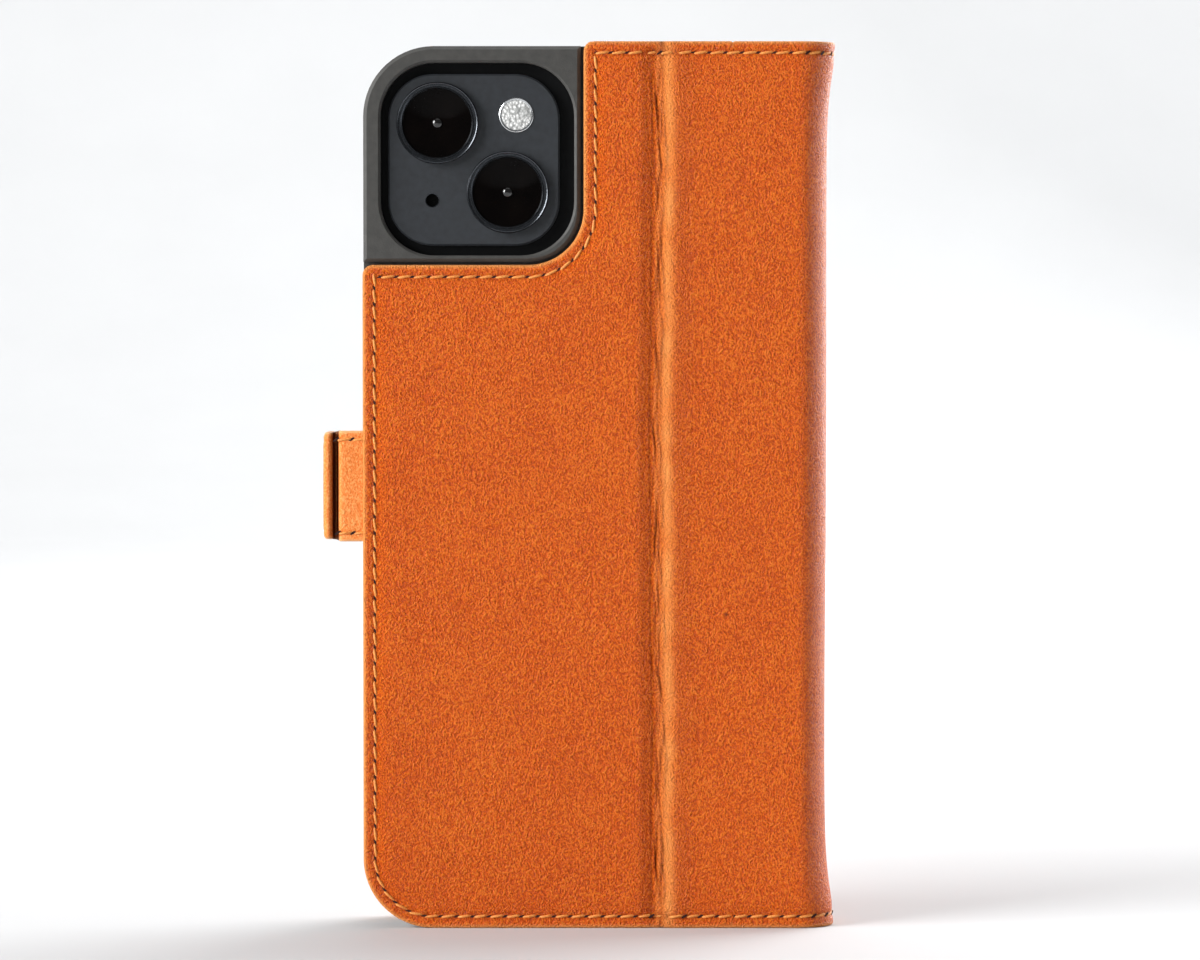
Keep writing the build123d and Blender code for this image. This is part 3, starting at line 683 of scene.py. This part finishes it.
# ---- Stitching: Geometry Nodes set threads and needle holes on points ----
def stitch_tree():
    """Tree that sets a slanted, sagging thread and a dark disc of painted shade for its needle hole on every
    point of a mesh.
    """
    tree = bpy.data.node_groups.new("saddle_stitches", "GeometryNodeTree")
    face = tree.interface
    face.new_socket("Geometry", in_out="INPUT", socket_type="NodeSocketGeometry")
    for name, value in {
        "Stitch Length": 2.15 * MM, "Thread Radius": 0.25 * MM, "Rise": 0.3 * MM,
        "Slant": 0.16, "Hole Radius": 0.33 * MM, "Hole Offset": 1.4 * MM,
    }.items():
        face.new_socket(name, in_out="INPUT", socket_type="NodeSocketFloat").default_value = value
    face.new_socket("Thread Material", in_out="INPUT", socket_type="NodeSocketMaterial")
    face.new_socket("Hole Material", in_out="INPUT", socket_type="NodeSocketMaterial")
    face.new_socket("Geometry", in_out="OUTPUT", socket_type="NodeSocketGeometry")
    given = add(tree, "NodeGroupInput").outputs
    half = add(tree, "ShaderNodeMath", {0: given["Stitch Length"]}, {1: 0.5}, operation="MULTIPLY")
    back = add(tree, "ShaderNodeMath", {0: half.outputs[0]}, {1: -1.0}, operation="MULTIPLY")
    side = add(tree, "ShaderNodeMath", {0: half.outputs[0], 1: given["Slant"]}, operation="MULTIPLY")
    other = add(tree, "ShaderNodeMath", {0: side.outputs[0]}, {1: -1.0}, operation="MULTIPLY")
    dip = add(tree, "ShaderNodeMath", {0: given["Thread Radius"]}, {1: -0.7}, operation="MULTIPLY")
    start, end = (
        add(tree, "ShaderNodeCombineXYZ", {"X": x.outputs[0], "Y": y.outputs[0], "Z": dip.outputs[0]})
        for x, y in ((back, other), (half, side))
    )
    crown = add(tree, "ShaderNodeCombineXYZ", {"Z": given["Rise"]})
    arch = add(
        tree, "GeometryNodeCurveQuadraticBezier",
        {"Start": start.outputs[0], "Middle": crown.outputs[0], "End": end.outputs[0]}, {"Resolution": 7},
    )
    section = add(
        tree, "GeometryNodeCurvePrimitiveCircle", {"Radius": given["Thread Radius"]}, {"Resolution": 7}
    )
    thread = add(
        tree, "GeometryNodeCurveToMesh",
        {"Curve": arch.outputs[0], "Profile Curve": section.outputs[0]}, {"Fill Caps": True},
    )
    shaded = add(tree, "GeometryNodeSetShadeSmooth", {"Geometry": thread.outputs[0]})
    thread_made = add(
        tree, "GeometryNodeSetMaterial", {"Geometry": shaded.outputs[0], "Material": given["Thread Material"]}
    )
    # The needle hole is a thin flat disc in the hole material: painted shade, not a real opening
    hole = add(
        tree, "GeometryNodeMeshCylinder", {"Radius": given["Hole Radius"]},
        {"Vertices": 8, "Depth": 0.12 * MM},
    )
    shift = add(tree, "ShaderNodeCombineXYZ", {"X": given["Hole Offset"]})
    hole_moved = add(
        tree, "GeometryNodeTransform", {"Geometry": hole.outputs["Mesh"], "Translation": shift.outputs[0]},
        {"Scale": (1.9, 0.62, 1.0), "Rotation": (0.0, 0.0, 0.6)},
    )
    hole_made = add(
        tree, "GeometryNodeSetMaterial",
        {"Geometry": hole_moved.outputs[0], "Material": given["Hole Material"]},
    )
    stitch = add(tree, "GeometryNodeJoinGeometry")
    tree.links.new(thread_made.outputs[0], stitch.inputs[0])
    tree.links.new(hole_made.outputs[0], stitch.inputs[0])
    normal, along = (
        add(tree, "GeometryNodeInputNamedAttribute", values={"Name": name}, data_type="FLOAT_VECTOR")
        for name in ("outward", "along")
    )
    turned = add(
        tree, "FunctionNodeAxesToRotation",
        {"Primary Axis": normal.outputs["Attribute"], "Secondary Axis": along.outputs["Attribute"]},
        primary_axis="Z", secondary_axis="X",
    )
    placed = add(
        tree, "GeometryNodeInstanceOnPoints",
        {"Points": given["Geometry"], "Instance": stitch.outputs[0], "Rotation": turned.outputs[0]},
    )
    real = add(tree, "GeometryNodeRealizeInstances", {"Geometry": placed.outputs[0]})
    add(tree, "NodeGroupOutput", {0: real.outputs[0]})
    return tree


STITCH_TREE = stitch_tree()


def set_inputs(modifier, values):
    """Set a Geometry Nodes modifier's inputs by the names in its tree's interface."""
    for item in modifier.node_group.interface.items_tree:
        if item.in_out == "INPUT" and item.name in values:
            modifier[item.identifier] = values[item.name]


def sew(name, places, outward, along):
    """A row of stitches as one plain mesh: places in millimetres, with their normals and directions."""
    mesh = bpy.data.meshes.new(name)
    mesh.from_pydata((np.asarray(places) * MM).tolist(), [], [])
    for label, vectors in (("outward", outward), ("along", along)):
        stored = mesh.attributes.new(label, "FLOAT_VECTOR", "POINT")
        stored.data.foreach_set("vector", np.asarray(vectors, np.float32).ravel())
    source = put(name + "_points", mesh)
    modifier = source.modifiers.new("stitches", "NODES")
    modifier.node_group = STITCH_TREE
    set_inputs(modifier, {"Thread Material": THREAD, "Hole Material": HOLE})
    bpy.context.view_layer.update()
    evaluated = source.evaluated_get(bpy.context.evaluated_depsgraph_get())
    baked = bpy.data.meshes.new_from_object(evaluated)
    baked.name = name
    source.modifiers.clear()
    bpy.data.objects.remove(source)
    piece = put(name, baked)
    return piece


def even_points(line, pitch):
    """Points at an even pitch round a closed polyline."""
    line = np.vstack([line, line[:1]])
    lengths = np.concatenate([[0], np.cumsum(np.linalg.norm(np.diff(line, axis=0), axis=1))])
    count = max(2, round(lengths[-1] / pitch))
    where = (np.arange(count) + 0.5) * lengths[-1] / count
    return np.stack([np.interp(where, lengths, line[:, k]) for k in range(line.shape[1])], axis=1)


def stitch_line(height_at):
    """Arc lengths, places and directions of the stitches all round the wrapped sheet."""
    ring = inset_ring(rounded_outline(wrap_corners(0.0), 0.3), STITCH_INSET)
    flat = even_points(ring, STITCH_PITCH)
    step = even_points(np.roll(ring, -1, axis=0), STITCH_PITCH) - flat
    step /= np.linalg.norm(step, axis=1)[:, None] + 1e-9
    s, z = flat[:, 0], flat[:, 1]
    height = height_at(s, z)
    place = wrap_at(s, z, height)
    along = wrap_at(s + 0.2 * step[:, 0], z + 0.2 * step[:, 1], height) - place
    return s, place, along / np.linalg.norm(along, axis=1)[:, None]


def sew_panels(suffix, s, place, outward, along):
    """Sew a line of stitches, split where the wrapped sheet is split."""
    for which, panel in enumerate(WRAP_PANELS):
        chosen = np.searchsorted(SEAMS, s) == which
        bend(sew(panel + suffix, place[chosen], outward[chosen], along[chosen]), *WRAP_FOLDS[which])


def sew_wrap():
    """The stitches on the outer leather, in their groove."""
    s, place, along = stitch_line(lambda s, z: wrap_height(s, z, np.full_like(s, STITCH_INSET)))
    sew_panels("_stitches", s, place, wrap_normal(s), along)


sew_wrap()


# ---- The clasp strap: one folded band, sewn along both edges ----
ROOT_LOW, ROOT_HIGH = box_mm("strap_root")
SIDE_LOW, SIDE_HIGH = box_mm("strap_side_outer")
ROOT_FACE, ROOT_BACK = ROOT_LOW[1], ROOT_HIGH[1]
STRAP_OUT = SIDE_LOW[0]
STRAP_IN = box_mm("strap_side_inner")[1][0]
STRAP_END = box_mm("strap_tip_outer")[1][1]
STRAP_MIDDLE = (ROOT_LOW[2] + ROOT_HIGH[2]) / 2
STRAP_HALF = (ROOT_HIGH[2] - ROOT_LOW[2]) / 2
STRAP_CORNER = 6.0
STRAP_STITCH = 1.5
FOLD_Y = joint_place("strap_fold")[1]

# The side of the band is narrower than its root, and its tip narrower again
SIDE_SQUEEZE = (SIDE_HIGH[2] - SIDE_LOW[2]) / (ROOT_HIGH[2] - ROOT_LOW[2])
TIP_TAPER = 0.115

STRAP_FOLDS = [
    ("phone_side", "strap_side", "strap_swing", (0.75, -0.1, 0), (-0.8, 0.7, 0)),
    ("strap_side", "strap_tip", "strap_fold", (0, -1.5, 0), (0, 1.5, 0)),
]


def strap_section():
    """Plan polylines of the band's outer and inner face, point by point across from each other."""
    root = ROOT_LOW[0]
    pairs = [
        ((ROOT_HIGH[0], ROOT_FACE), (ROOT_HIGH[0], ROOT_BACK)),
        ((root + 1.2, ROOT_FACE), (root + 1.2, ROOT_BACK)),
        ((root + 0.6, ROOT_FACE + 0.05), (root + 0.8, ROOT_BACK + 0.05)),
        ((root + 0.12, ROOT_FACE + 0.3), (root + 0.55, ROOT_BACK + 0.4)),
        ((root - 0.04, ROOT_FACE + 0.9), (root + 0.35, ROOT_BACK + 1.0)),
        ((root - 0.08, ROOT_FACE + 1.9), (root + 0.1, ROOT_BACK + 1.7)),
        ((root - 0.45, ROOT_FACE + 2.5), (root - 0.5, ROOT_BACK + 2.3)),
        ((STRAP_IN - 0.02, ROOT_FACE + 1.9), (STRAP_IN + 0.05, ROOT_BACK + 2.5)),
        ((STRAP_IN - 0.06, ROOT_FACE + 1.1), (STRAP_IN, ROOT_BACK + 2.65)),
        ((STRAP_IN - 0.3, ROOT_FACE + 0.7), (STRAP_IN, ROOT_BACK + 2.75)),
        ((STRAP_IN - 0.75, ROOT_FACE + 0.52), (STRAP_IN, ROOT_BACK + 2.85)),
        ((STRAP_OUT + 0.35, ROOT_FACE + 0.72), (STRAP_IN, ROOT_BACK + 2.95)),
        ((STRAP_OUT + 0.06, ROOT_FACE + 1.2), (STRAP_IN, ROOT_BACK + 3.1)),
        ((STRAP_OUT, ROOT_FACE + 1.9), (STRAP_IN, ROOT_BACK + 3.3)),
        ((STRAP_OUT, ROOT_FACE + 5.0), (STRAP_IN, ROOT_FACE + 5.0)),
        ((STRAP_OUT, FOLD_Y - 2.2), (STRAP_IN, FOLD_Y - 2.2)),
        ((STRAP_OUT + 0.1, FOLD_Y), (STRAP_IN - 0.45, FOLD_Y)),
        ((STRAP_OUT, FOLD_Y + 2.2), (STRAP_IN, FOLD_Y + 2.2)),
        ((STRAP_OUT, STRAP_END), (STRAP_IN, STRAP_END)),
    ]
    outer, inner = (np.array([pair[side] for pair in pairs]) for side in (0, 1))
    along = np.concatenate([[0], np.cumsum(np.linalg.norm(np.diff(outer, axis=0), axis=1))])
    return along, outer, inner


STRAP_ALONG, STRAP_OUTER, STRAP_INNER = strap_section()
STRAP_LENGTH = STRAP_ALONG[-1]

# Arc lengths of the section's landmarks, from its root: the bend into the slit, the slit and the roll
ROOT_BEND, ROOT_TURN, SLIT_TOP, SLIT_WALL, _, SLIT_FLOOR, ROLL_WALL, ROLL_RISE, ROLL_CREST = STRAP_ALONG[1:10]
ROLL_EDGE, SIDE_START = STRAP_ALONG[13:15]
STRAP_SEAM = SIDE_START + 3.5


def soft_line(s, line):
    """Points along a plan polyline at arc lengths s, with its corners softened."""
    near = np.linspace(-0.18, 0.18, 5)
    where = np.clip(s[:, None] + near, 0, STRAP_LENGTH)
    return np.stack([np.interp(where, STRAP_ALONG, line[:, k]).mean(1) for k in (0, 1)], axis=1)


def strap_faces(s, w, height):
    """Row-frame points of the band's outer and inner face; w runs across the band from its middle."""
    outer, inner = soft_line(s, STRAP_OUTER), soft_line(s, STRAP_INNER)
    across = outer - inner
    across /= np.linalg.norm(across, axis=1)[:, None]
    squeeze = 1 + (SIDE_SQUEEZE - 1) * smooth_step(s, SLIT_WALL, ROLL_RISE)
    squeeze = squeeze * (1 - TIP_TAPER * smooth_step(s, STRAP_SEAM, STRAP_LENGTH - 8.0))
    z = STRAP_MIDDLE + w * squeeze
    front = outer + across * height[:, None]
    back = inner - across * height[:, None]
    return (
        np.column_stack([front, z]), np.column_stack([back, z]),
        np.column_stack([across, np.zeros_like(z)]),
    )


def strap_height(s, w, inset):
    """Relief of the band: rounded edges, a groove along the stitches and a soft swell between them."""
    rim = np.clip(0.5 - inset, 0, 0.5)
    rounding = -(0.5 - np.sqrt(np.maximum(0.25 - rim ** 2, 0)))
    groove = -0.16 * hump(inset, STRAP_STITCH, 0.4) - 0.05 * (inset < STRAP_STITCH)
    roll = smooth_step(s, ROLL_WALL, ROLL_CREST) * (1 - smooth_step(s, ROLL_EDGE, SIDE_START))
    roll_edge = -0.4 * roll * (1 - smooth_step(inset, 0.0, 1.1))
    return rounding + groove + 0.03 * wavy(s, w, 11, 14.0) + roll_edge


def strap_outline():
    """The unrolled band, square at its root and rounded at its tip."""
    return rounded_outline([
        (0.0, -STRAP_HALF, 0.5), (STRAP_LENGTH, -STRAP_HALF, STRAP_CORNER),
        (STRAP_LENGTH, STRAP_HALF, STRAP_CORNER), (0.0, STRAP_HALF, 0.5),
    ], 0.35)


def make_strap():
    """The band in two pieces that meet half way along its side."""
    columns = np.concatenate([
        np.arange(0.8, ROOT_BEND, 0.8), np.arange(ROOT_BEND, ROLL_EDGE + 0.5, 0.16),
        np.arange(ROLL_EDGE + 1.0, STRAP_LENGTH, 0.55),
    ])
    flat, triangles, inset = triangulate(
        strap_outline(), columns, np.arange(-STRAP_HALF, STRAP_HALF, 0.9), [STRAP_SEAM],
        (0.1, 0.22, 0.36, 0.5, 0.85, 1.2, STRAP_STITCH, 1.8, 2.3),
    )
    # Seen from outside, the band unrolls to the left, so its triangles are turned over
    triangles = [(a, c, b) for a, b, c in triangles]
    s, w = flat[:, 0], flat[:, 1]
    front, back, _ = strap_faces(s, w, strap_height(s, w, inset))
    normals = both_normals(front, back, triangles)
    rim = 1 - smooth_step(inset, 0.1, 0.55)
    # Painted shade: the slit is darkened down to its floor, less so on a thin line along the floor, and a
    # little on to the roll
    slit = smooth_step(s, SLIT_TOP - 0.1, SLIT_WALL + 0.2) * (1 - smooth_step(s, ROLL_WALL, ROLL_CREST))
    dark = np.clip(0.95 * slit - 0.35 * hump(s, SLIT_FLOOR, 0.2), 0, 1) + 0.3 * hump(s, ROLL_CREST, 0.6)
    pieces = [
        ("strap_band_root", ("strap_root", "strap_side_outer", "strap_side_inner")),
        ("strap_band_tip", ("strap_tip_outer", "strap_tip_inner")),
    ]
    parts = split_by_seams(flat, triangles, [STRAP_SEAM])
    for (name, replaced), part, fold in zip(pieces, parts, STRAP_FOLDS):
        piece = shell_mesh(name, part, front, back, rim, STRAP_HIDE_PAINTED_LIT, normals, dark)
        bend(piece, *fold)
        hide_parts(*replaced)


def sew_strap():
    """Stitches round the band's outer face, and inside it from the roll on."""
    places = even_points(inset_ring(strap_outline(), STRAP_STITCH), 2.65)
    bare = (places[:, 0] > ROOT_TURN + 1.3) & (places[:, 0] < SIDE_START + 0.6)
    places = places[(places[:, 0] > STRAP_STITCH + 0.1) & ~bare]
    on_root = places[:, 0] < STRAP_SEAM - 5.0
    places[on_root, 0] -= np.where(places[on_root, 1] > 0, 1.0, 1.5)
    s, w = places[:, 0], places[:, 1]
    level = strap_height(s, w, np.full_like(s, STRAP_STITCH))
    front, back, across = strap_faces(s, w, level)
    # Along the edges the stitches run straight, and at the tip they turn round the corners' centre
    centre = np.array([STRAP_LENGTH - STRAP_CORNER, 0.0])
    out = places - centre
    tangent = np.column_stack([-out[:, 1], out[:, 0]])
    tangent[s < centre[0]] = [1.0, 0.0]
    tangent /= np.linalg.norm(tangent, axis=1)[:, None]
    ahead_front, ahead_back, _ = strap_faces(s + 0.2 * tangent[:, 0], w + 0.2 * tangent[:, 1], level)
    rows = [("strap_root_stitches", s <= STRAP_SEAM), ("strap_tip_stitches", s > STRAP_SEAM)]
    for (name, chosen), fold in zip(rows, STRAP_FOLDS):
        inner = chosen & (s > ROLL_WALL + 3.0)
        spots = np.concatenate([front[chosen], back[inner]])
        heading = np.concatenate([(ahead_front - front)[chosen], (ahead_back - back)[inner]])
        outward = np.concatenate([across[chosen], -across[inner]])
        heading /= np.linalg.norm(heading, axis=1)[:, None]
        bend(sew(name, spots, outward, heading), *fold)


make_strap()
sew_strap()


# ---- Pockets on the lining of the cover ----
POCKETS = ("cash_pocket", "card_pocket_upper", "card_pocket_middle", "card_pocket_lower")
POCKET_CORNER = PANEL_CORNER - 1.2


def pocket_sheet(node, seed):
    """A pocket leaf: rounded edges, a groove where it is sewn down and a creased line along its mouth."""
    low, high = box_mm(node)
    outline = rounded_outline([
        (low[0], low[2], POCKET_CORNER), (high[0], low[2], 0.6),
        (high[0], high[2], 1.2), (low[0], high[2], 1.2),
    ])
    columns, rows = np.arange(low[0], high[0], 1.6), np.arange(low[2], high[2], 1.6)
    rings = (0.1, 0.22, 0.4, 0.85, 1.15, 1.4, 1.7, 2.2)
    flat, triangles, inset = triangulate(outline, columns, rows, rings=rings)
    x, z = flat[:, 0], flat[:, 1]
    rim = np.clip(0.28 - inset, 0, 0.28)
    rounding = 0.28 - np.sqrt(np.maximum(0.28 ** 2 - rim ** 2, 0))
    mouth = high[2] - z
    groove = 0.07 * hump(mouth, 1.4, 0.25) + 0.05 * hump(inset, 0.85, 0.35) * (mouth > 2.0)
    swell = 0.05 * (wavy(x, z, seed, 26.0) - 1.0) * smooth_step(inset, 0.0, 2.0)
    front = low[1] - 0.02 + rounding + groove - swell
    face = np.column_stack([x, front, z])
    back = np.column_stack([x, np.full_like(x, high[1] - 0.01), z])
    normals = both_normals(face, back, triangles)
    paint = 1 - smooth_step(inset, 0.08, 0.4)
    piece = shell_mesh(node + "_leaf", triangles, face, back, paint, LINING_HIDE, normals)
    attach(piece, "front_cover")
    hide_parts(node)


def sew_lining():
    """The same stitches seen from inside: on the lining, or on the pocket leaf that covers it."""
    s, place, along = stitch_line(lambda s, z: -LINING_DEPTH - LINING_THICK)
    on_cover = s > WRAP_LENGTH - BACK_RUN
    for node in POCKETS:
        low, high = box_mm(node)
        covered = on_cover & (place[:, 0] < high[0]) & (place[:, 2] < high[2])
        place[covered, 1] = low[1] + 0.1
    sew_panels("_inner_stitches", s, place, -wrap_normal(s), along)


for leaf_seed, pocket_node in enumerate(POCKETS):
    pocket_sheet(pocket_node, 20 + leaf_seed)
sew_lining()


# ---- Camera ----
RINGS_LOW, RINGS_HIGH = box_mm("lens_rings")
LENS_RADIUS = 7.0
LENS_PLACES = [
    (RINGS_LOW[0] + LENS_RADIUS, RINGS_HIGH[2] - LENS_RADIUS),
    (RINGS_HIGH[0] - LENS_RADIUS, RINGS_LOW[2] + LENS_RADIUS),
]


def turned_parts(name, centres, profile, material, segments=112):
    """Bodies of revolution about front-to-back axes from (radius, depth) points, outer edge first."""
    verts, faces = [], []
    for x, z in centres:
        base = len(verts)
        for radius, depth in profile:
            for k in range(segments):
                angle = 2 * math.pi * k / segments
                verts.append((
                    (x + radius * math.cos(angle)) * MM, depth * MM, (z + radius * math.sin(angle)) * MM,
                ))
        count = len(profile)
        for row in range(count):
            upper = (row + 1) % count
            for k in range(segments):
                ahead = (k + 1) % segments
                a, b = base + row * segments, base + upper * segments
                faces.append((a + k, a + ahead, b + ahead, b + k))
    mesh = bpy.data.meshes.new(name)
    mesh.from_pydata(verts, [], faces)
    mesh.shade_smooth()
    mesh.set_sharp_from_angle(angle=math.radians(35))
    mesh.materials.append(material)
    piece = put(name, mesh)
    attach(piece, "phone_side")
    return piece


def make_camera_parts():
    """Lens rings with a bevelled lip, black glass with its small front element, flash and microphone."""
    plate = PLATE_LOW[1]
    lip = RINGS_LOW[1]
    r = LENS_RADIUS
    ring = turned_parts("lens_ring_pair", LENS_PLACES, [
        (r, plate), (r, lip + 0.25), (r - 0.05, lip + 0.1), (r - 0.16, lip), (r - 0.26, lip + 0.05),
        (r - 0.4, lip + 0.22), (r - 0.75, lip + 0.24), (r - 0.86, lip + 0.08), (r - 0.96, lip + 0.08),
        (r - 1.12, lip + 0.35), (r - 1.15, lip + 0.4), (r - 1.15, plate),
    ], RING_METAL)
    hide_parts("lens_rings")
    glass = turned_parts("lens_glass_pair", LENS_PLACES, [
        (r - 1.13, plate), (r - 1.13, lip + 0.42), (r - 1.3, lip + 0.46), (2.6, lip + 0.47),
        (2.5, lip + 0.5), (0.01, lip + 0.51), (0.01, plate),
    ], LENS)
    core = turned_parts("lens_core_pair", LENS_PLACES, [
        (0.85, lip + 0.52), (0.78, lip + 0.38), (0.55, lip + 0.24), (0.28, lip + 0.16),
        (0.01, lip + 0.14), (0.01, lip + 0.52),
    ], LENS_CORE, 32)
    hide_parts("lens_glass")
    low, high = box_mm("flash_lens")
    middle = [((low[0] + high[0]) / 2, (low[2] + high[2]) / 2)]
    radius = (high[0] - low[0]) / 2
    rim = turned_parts("flash_rim", middle, [
        (radius, high[1]), (radius, low[1] - 0.02), (radius - 0.12, low[1] - 0.09),
        (radius - 0.36, low[1] - 0.05), (radius - 0.42, low[1] + 0.04), (radius - 0.42, high[1]),
    ], FLASH_RIM)
    lens = turned_parts("flash_diffuser", middle, [
        (radius - 0.4, high[1]), (radius - 0.4, low[1] + 0.03), (radius - 1.0, low[1] - 0.03),
        (radius - 1.9, low[1] - 0.07), (0.01, low[1] - 0.09), (0.01, high[1]),
    ], FLASH)
    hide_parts("flash_lens")
    low, high = box_mm("mic_mesh")
    port = turned_parts("mic_port_rim", [((low[0] + high[0]) / 2, (low[2] + high[2]) / 2)], [
        (1.22, plate), (1.2, plate - 0.05), (1.1, plate - 0.04), (1.04, plate + 0.1), (1.04, plate + 0.34),
    ], RING_METAL, 48)


make_camera_parts()


# ---- Carried-over CAD nodes take better materials ----
FINISHES = {
    "phone_tray": SHELL, "side_key_pad": SHELL, "volume_up_pad": SHELL, "volume_down_pad": SHELL,
    "tray_adhesive": SHELL, "phone_back_glass": PHONE_GLASS, "phone_frame": FRAME_METAL,
    "phone_screen": SCREEN, "camera_plate": PLATE, "mic_mesh": MESH_BLACK,
    "clasp_plate": PLATED_STEEL, "clasp_magnet": PLATED_STEEL,
}
for finished_node, finish in FINISHES.items():
    for material_slot in frame["nodes"][finished_node].material_slots:
        material_slot.material = finish


# ---- Floor, lights and camera ----
def make_floor():
    """A sweep of backdrop paper: floor, curve and wall in one smooth strip."""
    half_width, front, bend_start, radius, top = 5.0, -5.0, 1.2, 0.8, 3.0
    profile = [(front, 0.0), (bend_start, 0.0)]
    profile += [
        (bend_start + radius * math.sin(a), radius * (1 - math.cos(a)))
        for a in np.linspace(0, math.pi / 2, 24)[1:]
    ]
    profile.append((bend_start + radius, top))
    verts = [(x, y, z) for y, z in profile for x in (-half_width, half_width)]
    faces = [(2 * i, 2 * i + 1, 2 * i + 3, 2 * i + 2) for i in range(len(profile) - 1)]
    mesh = bpy.data.meshes.new("backdrop")
    mesh.from_pydata(verts, [], faces)
    mesh.shade_smooth()
    mesh.materials.append(PAPER)
    put("backdrop", mesh)


def put_aimed(name, data, place, aim):
    """Put a lamp or the camera in the scene, aimed at a point."""
    holder = put(name, data)
    holder.location = place
    holder.rotation_euler = (Vector(aim) - Vector(place)).to_track_quat("-Z", "Y").to_euler()
    return holder


def area_light(name, place, aim, size, power):
    """A square soft box aimed at a point, in metres and watts."""
    lamp = bpy.data.lights.new(name, "AREA")
    lamp.size = size
    lamp.energy = power
    put_aimed(name, lamp, place, aim)


def make_lights():
    """A soft box from the upper left, a bright board on the right and an even white surround."""
    middle = (0.0, 0.0, HEIGHT / 2 * MM)
    area_light("key_softbox", (-1.9, -1.0, 0.85), middle, 1.4, 84.0)
    area_light("top_softbox", (0.1, 0.15, 1.8), (0.1, 0.15, 0.0), 1.5, 7.0)
    area_light("right_board", (0.98, 0.85, 0.3), middle, 1.25, 34.0)
    area_light("backdrop_wash", (0.8, 1.2, 1.9), (0.8, 2.0, 0.5), 2.0, 30.0)
    world = bpy.data.worlds.new("white_surround")
    world.use_nodes = True
    shade = world.node_tree.nodes["Background"]
    shade.inputs["Color"].default_value = (0.97, 0.985, 1.0, 1.0)
    shade.inputs["Strength"].default_value = 0.14
    bpy.context.scene.world = world


CAMERA_DISTANCE = 0.780
CAMERA_HEIGHT = 0.10715
CAMERA_SIDE = 0.0039
AIM_HEIGHT = 0.07705
FOCAL_LENGTH = 136.95


def make_camera():
    """Long lens a little above the middle of the case, looking at its back."""
    lens = bpy.data.cameras.new("camera")
    lens.lens = FOCAL_LENGTH
    lens.sensor_width = 36.0
    lens.clip_end = 20.0
    back = BACK_FACE * MM
    place, aim = (CAMERA_SIDE, back - CAMERA_DISTANCE, CAMERA_HEIGHT), (CAMERA_SIDE, back, AIM_HEIGHT)
    bpy.context.scene.camera = put_aimed("camera", lens, place, aim)


make_floor()
make_lights()
make_camera()
bpy.context.scene.view_settings.view_transform = "Standard"
